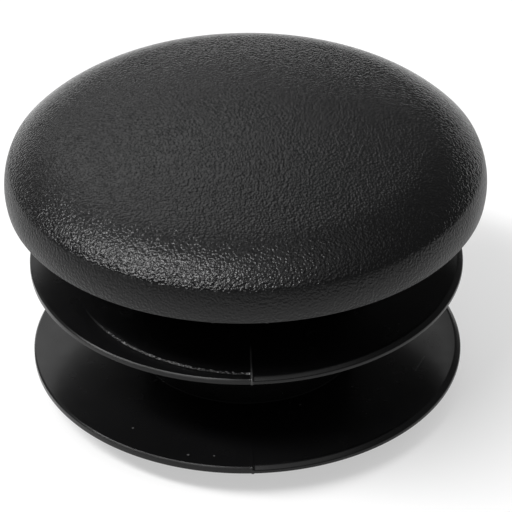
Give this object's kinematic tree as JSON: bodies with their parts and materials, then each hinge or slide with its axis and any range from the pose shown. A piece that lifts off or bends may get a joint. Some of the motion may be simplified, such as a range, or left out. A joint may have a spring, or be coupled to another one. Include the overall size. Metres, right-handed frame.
{
  "type": "plastic hole plug",
  "caption": "Push-in round hole or tube-end plug: a crowned grained head on a hollow stem with thin round sealing fins, moulded in one piece.",
  "frame": {"origin": "centre of the stem's open end, on the plane that the plug stands on", "axes": "+Z along the plug's axis, from the stem's open end towards the crown of the head"},
  "size_m": [0.03, 0.03, 0.0192],
  "materials": {
    "black_plastic": "black polyethylene: fine spark-eroded grain on the head, smooth and glossier on the fins and stem"
  },
  "bodies": {
    "root": {"hole_plug": "black_plastic"}
  },
  "joints": []
}
